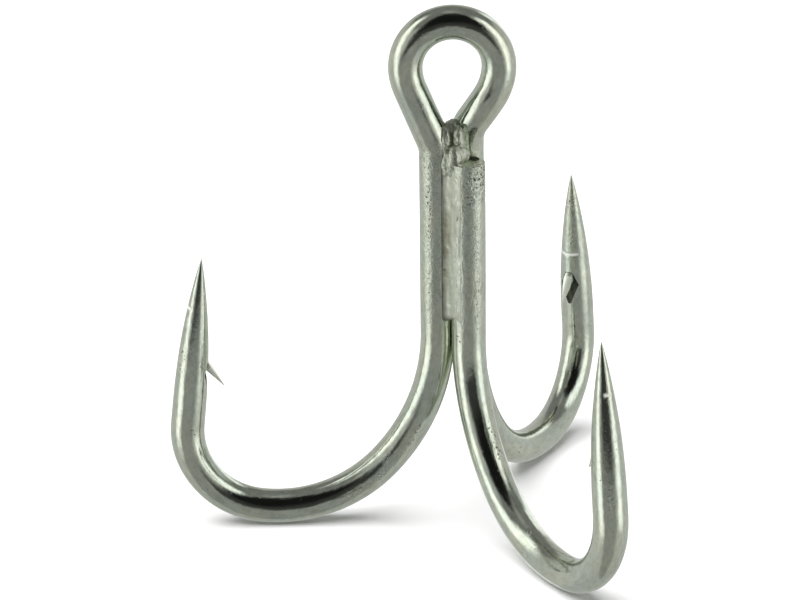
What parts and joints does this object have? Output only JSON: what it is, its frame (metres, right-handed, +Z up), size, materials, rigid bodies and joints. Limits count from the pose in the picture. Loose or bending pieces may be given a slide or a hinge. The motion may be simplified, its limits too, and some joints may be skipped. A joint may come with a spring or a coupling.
{
  "type": "treble hook",
  "caption": "Plated steel fishing hook with barbed points spaced evenly round one brazed shank, hung from a round wire eye.",
  "frame": {"origin": "centre of the eye, where a split ring or link hangs", "axes": "+Z up along the shank from the bends to the eye, +Y through the eye's hole, +X to the right of the eye's plane with one hook pointing to -X"},
  "size_m": [0.0425, 0.0486, 0.0524],
  "materials": {
    "double_hook_plating": "bright tin plating over steel wire, with drawing lines and small tool marks",
    "single_hook_plating": "bright tin plating over steel wire, with drawing lines and small tool marks",
    "plated_braze": "plated over, satin and lightly pitted"
  },
  "bodies": {
    "root": {"double_hook": "double_hook_plating", "single_hook": "single_hook_plating", "braze_bead_front": "plated_braze", "braze_bead_right": "plated_braze", "braze_bead_rear": "plated_braze", "braze_core": "plated_braze", "braze_throat": "plated_braze"}
  },
  "joints": []
}
